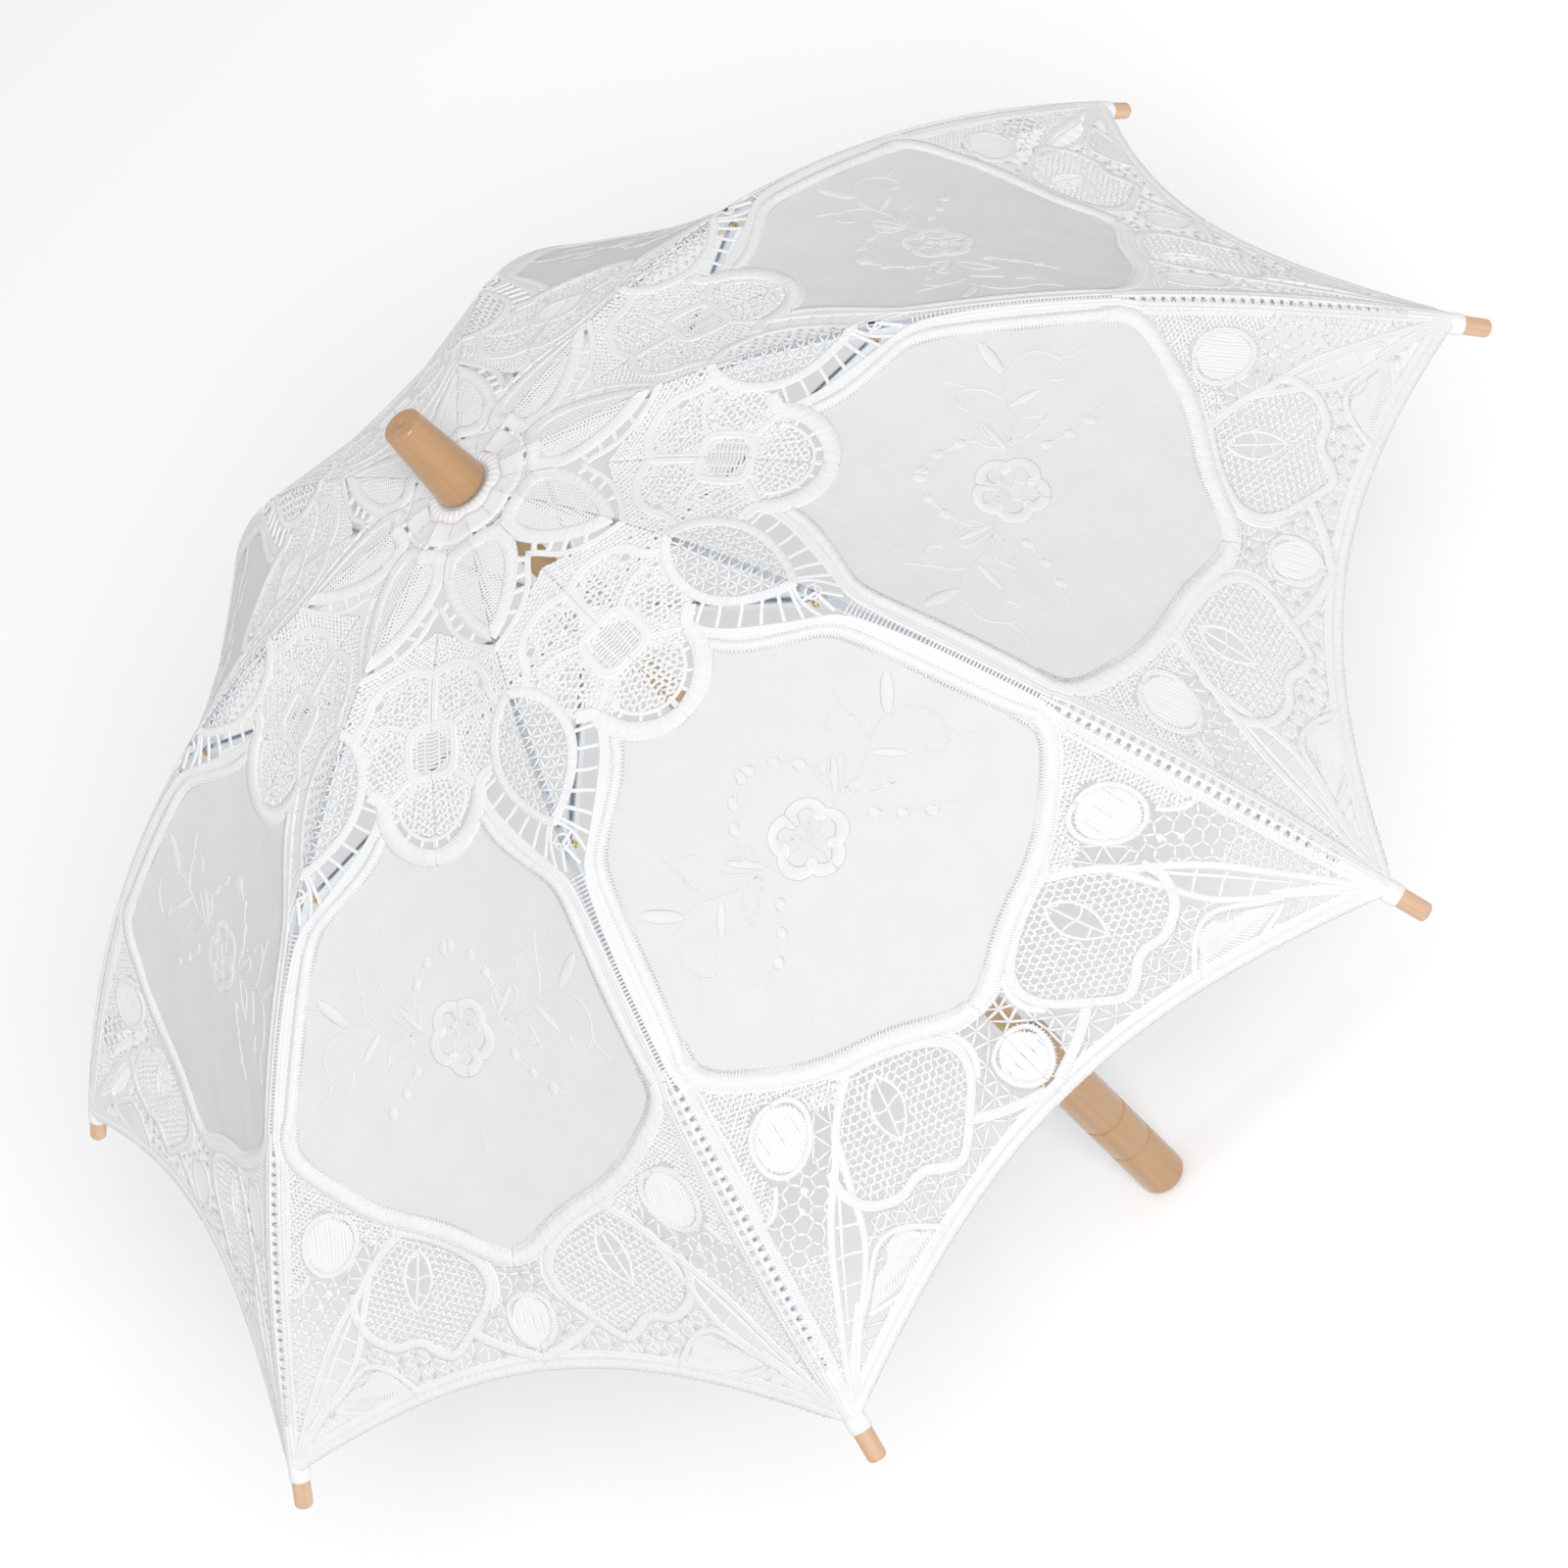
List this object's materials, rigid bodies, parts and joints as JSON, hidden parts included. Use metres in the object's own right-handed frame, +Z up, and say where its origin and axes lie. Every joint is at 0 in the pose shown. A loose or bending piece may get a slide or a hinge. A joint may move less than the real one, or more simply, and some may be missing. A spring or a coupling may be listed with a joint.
{
  "type": "parasol",
  "caption": "Open lace parasol: straight wooden handle and shaft, slotted crown, sliding runner, curved steel ribs with stretchers, wooden rib tips and a scalloped lace canopy.",
  "frame": {"origin": "centre of the flat end of the handle", "axes": "+Z up along the shaft towards the ferrule, +X along rib 1"},
  "size_m": [0.7766, 0.7766, 0.6619],
  "materials": {
    "varnished_wood": "clear varnish over pale straight-grained wood",
    "plain_wood": "bare smooth wood",
    "lace": "white cotton with tape lace and white embroidery",
    "steel": "bright plated steel channel",
    "brass": "small rolled eyelet",
    "white_plastic": "moulded white plastic"
  },
  "bodies": {
    "frame": {"handle": "varnished_wood", "shaft": "varnished_wood", "ferrule": "varnished_wood", "canopy_top_ring": "lace", "crown": "white_plastic", "crown_wire": "steel"},
    "runner": {"runner": "white_plastic", "runner_wire": "steel"},
    "top_catch": {"top_catch": "steel"},
    "rib_1": {"rib_1": "steel", "rib_tip_1": "plain_wood", "canopy_gore_1": "lace", "rib_clip_1": "steel"},
    "stretcher_1": {"stretcher_1": "steel", "rivet_1": "brass"},
    "rib_2": {"rib_2": "steel", "rib_tip_2": "plain_wood", "canopy_gore_2": "lace", "rib_clip_2": "steel"},
    "stretcher_2": {"stretcher_2": "steel", "rivet_2": "brass"},
    "rib_3": {"rib_3": "steel", "rib_tip_3": "plain_wood", "canopy_gore_3": "lace", "rib_clip_3": "steel"},
    "stretcher_3": {"stretcher_3": "steel", "rivet_3": "brass"},
    "rib_4": {"rib_4": "steel", "rib_tip_4": "plain_wood", "canopy_gore_4": "lace", "rib_clip_4": "steel"},
    "stretcher_4": {"stretcher_4": "steel", "rivet_4": "brass"},
    "rib_5": {"rib_5": "steel", "rib_tip_5": "plain_wood", "canopy_gore_5": "lace", "rib_clip_5": "steel"},
    "stretcher_5": {"stretcher_5": "steel", "rivet_5": "brass"},
    "rib_6": {"rib_6": "steel", "rib_tip_6": "plain_wood", "canopy_gore_6": "lace", "rib_clip_6": "steel"},
    "stretcher_6": {"stretcher_6": "steel", "rivet_6": "brass"},
    "rib_7": {"rib_7": "steel", "rib_tip_7": "plain_wood", "canopy_gore_7": "lace", "rib_clip_7": "steel"},
    "stretcher_7": {"stretcher_7": "steel", "rivet_7": "brass"},
    "rib_8": {"rib_8": "steel", "rib_tip_8": "plain_wood", "canopy_gore_8": "lace", "rib_clip_8": "steel"},
    "stretcher_8": {"stretcher_8": "steel", "rivet_8": "brass"}
  },
  "joints": [
    {"name": "runner_slide", "type": "slide", "parent": "frame", "child": "runner", "axis": [0, 0, 1], "range_m": [-0.24727, 0]},
    {"name": "catch_press", "type": "hinge", "parent": "frame", "child": "top_catch", "pos_m": [0.00333, 0.00138, 0.46], "axis": [-0.3827, 0.9239, 0], "range_deg": [-5, 0], "stiffness_Nm_per_rad": 0.5},
    {"name": "rib_hinge_1", "type": "hinge", "parent": "frame", "child": "rib_1", "pos_m": [0.012, 0, 0.612], "axis": [0, 1, 0], "range_deg": [0, 60], "deforming": ["canopy_gore_1"]},
    {"name": "stretcher_hinge_1", "type": "hinge", "parent": "rib_1", "child": "stretcher_1", "pos_m": [0.1782, 0, 0.5714], "axis": [0, 1, 0], "range_deg": [-120, 0]},
    {"name": "rib_hinge_2", "type": "hinge", "parent": "frame", "child": "rib_2", "pos_m": [0.00848, 0.00848, 0.612], "axis": [-0.7071, 0.7071, 0], "range_deg": [0, 60], "deforming": ["canopy_gore_2"]},
    {"name": "stretcher_hinge_2", "type": "hinge", "parent": "rib_2", "child": "stretcher_2", "pos_m": [0.12601, 0.12601, 0.5714], "axis": [-0.7071, 0.7071, 0], "range_deg": [-120, 0]},
    {"name": "rib_hinge_3", "type": "hinge", "parent": "frame", "child": "rib_3", "pos_m": [0, 0.012, 0.612], "axis": [-1, 0, 0], "range_deg": [0, 60], "deforming": ["canopy_gore_3"]},
    {"name": "stretcher_hinge_3", "type": "hinge", "parent": "rib_3", "child": "stretcher_3", "pos_m": [0, 0.1782, 0.5714], "axis": [-1, 0, 0], "range_deg": [-120, 0]},
    {"name": "rib_hinge_4", "type": "hinge", "parent": "frame", "child": "rib_4", "pos_m": [-0.00848, 0.00848, 0.612], "axis": [-0.7071, -0.7071, 0], "range_deg": [0, 60], "deforming": ["canopy_gore_4"]},
    {"name": "stretcher_hinge_4", "type": "hinge", "parent": "rib_4", "child": "stretcher_4", "pos_m": [-0.12601, 0.12601, 0.5714], "axis": [-0.7071, -0.7071, 0], "range_deg": [-120, 0]},
    {"name": "rib_hinge_5", "type": "hinge", "parent": "frame", "child": "rib_5", "pos_m": [-0.012, 0, 0.612], "axis": [0, -1, 0], "range_deg": [0, 60], "deforming": ["canopy_gore_5"]},
    {"name": "stretcher_hinge_5", "type": "hinge", "parent": "rib_5", "child": "stretcher_5", "pos_m": [-0.1782, 0, 0.5714], "axis": [0, -1, 0], "range_deg": [-120, 0]},
    {"name": "rib_hinge_6", "type": "hinge", "parent": "frame", "child": "rib_6", "pos_m": [-0.00848, -0.00848, 0.612], "axis": [0.7071, -0.7071, 0], "range_deg": [0, 60], "deforming": ["canopy_gore_6"]},
    {"name": "stretcher_hinge_6", "type": "hinge", "parent": "rib_6", "child": "stretcher_6", "pos_m": [-0.12601, -0.12601, 0.5714], "axis": [0.7071, -0.7071, 0], "range_deg": [-120, 0]},
    {"name": "rib_hinge_7", "type": "hinge", "parent": "frame", "child": "rib_7", "pos_m": [0, -0.012, 0.612], "axis": [1, 0, 0], "range_deg": [0, 60], "deforming": ["canopy_gore_7"]},
    {"name": "stretcher_hinge_7", "type": "hinge", "parent": "rib_7", "child": "stretcher_7", "pos_m": [0, -0.1782, 0.5714], "axis": [1, 0, 0], "range_deg": [-120, 0]},
    {"name": "rib_hinge_8", "type": "hinge", "parent": "frame", "child": "rib_8", "pos_m": [0.00848, -0.00848, 0.612], "axis": [0.7071, 0.7071, 0], "range_deg": [0, 60], "deforming": ["canopy_gore_8"]},
    {"name": "stretcher_hinge_8", "type": "hinge", "parent": "rib_8", "child": "stretcher_8", "pos_m": [0.12601, -0.12601, 0.5714], "axis": [0.7071, 0.7071, 0], "range_deg": [-120, 0]}
  ],
  "couplings": [
    {"joint": "rib_hinge_1", "follows": "runner_slide", "rad_per_m": -4.235},
    {"joint": "stretcher_hinge_1", "follows": "runner_slide", "rad_per_m": 8.47},
    {"joint": "rib_hinge_2", "follows": "runner_slide", "rad_per_m": -4.235},
    {"joint": "stretcher_hinge_2", "follows": "runner_slide", "rad_per_m": 8.47},
    {"joint": "rib_hinge_3", "follows": "runner_slide", "rad_per_m": -4.235},
    {"joint": "stretcher_hinge_3", "follows": "runner_slide", "rad_per_m": 8.47},
    {"joint": "rib_hinge_4", "follows": "runner_slide", "rad_per_m": -4.235},
    {"joint": "stretcher_hinge_4", "follows": "runner_slide", "rad_per_m": 8.47},
    {"joint": "rib_hinge_5", "follows": "runner_slide", "rad_per_m": -4.235},
    {"joint": "stretcher_hinge_5", "follows": "runner_slide", "rad_per_m": 8.47},
    {"joint": "rib_hinge_6", "follows": "runner_slide", "rad_per_m": -4.235},
    {"joint": "stretcher_hinge_6", "follows": "runner_slide", "rad_per_m": 8.47},
    {"joint": "rib_hinge_7", "follows": "runner_slide", "rad_per_m": -4.235},
    {"joint": "stretcher_hinge_7", "follows": "runner_slide", "rad_per_m": 8.47},
    {"joint": "rib_hinge_8", "follows": "runner_slide", "rad_per_m": -4.235},
    {"joint": "stretcher_hinge_8", "follows": "runner_slide", "rad_per_m": 8.47}
  ]
}
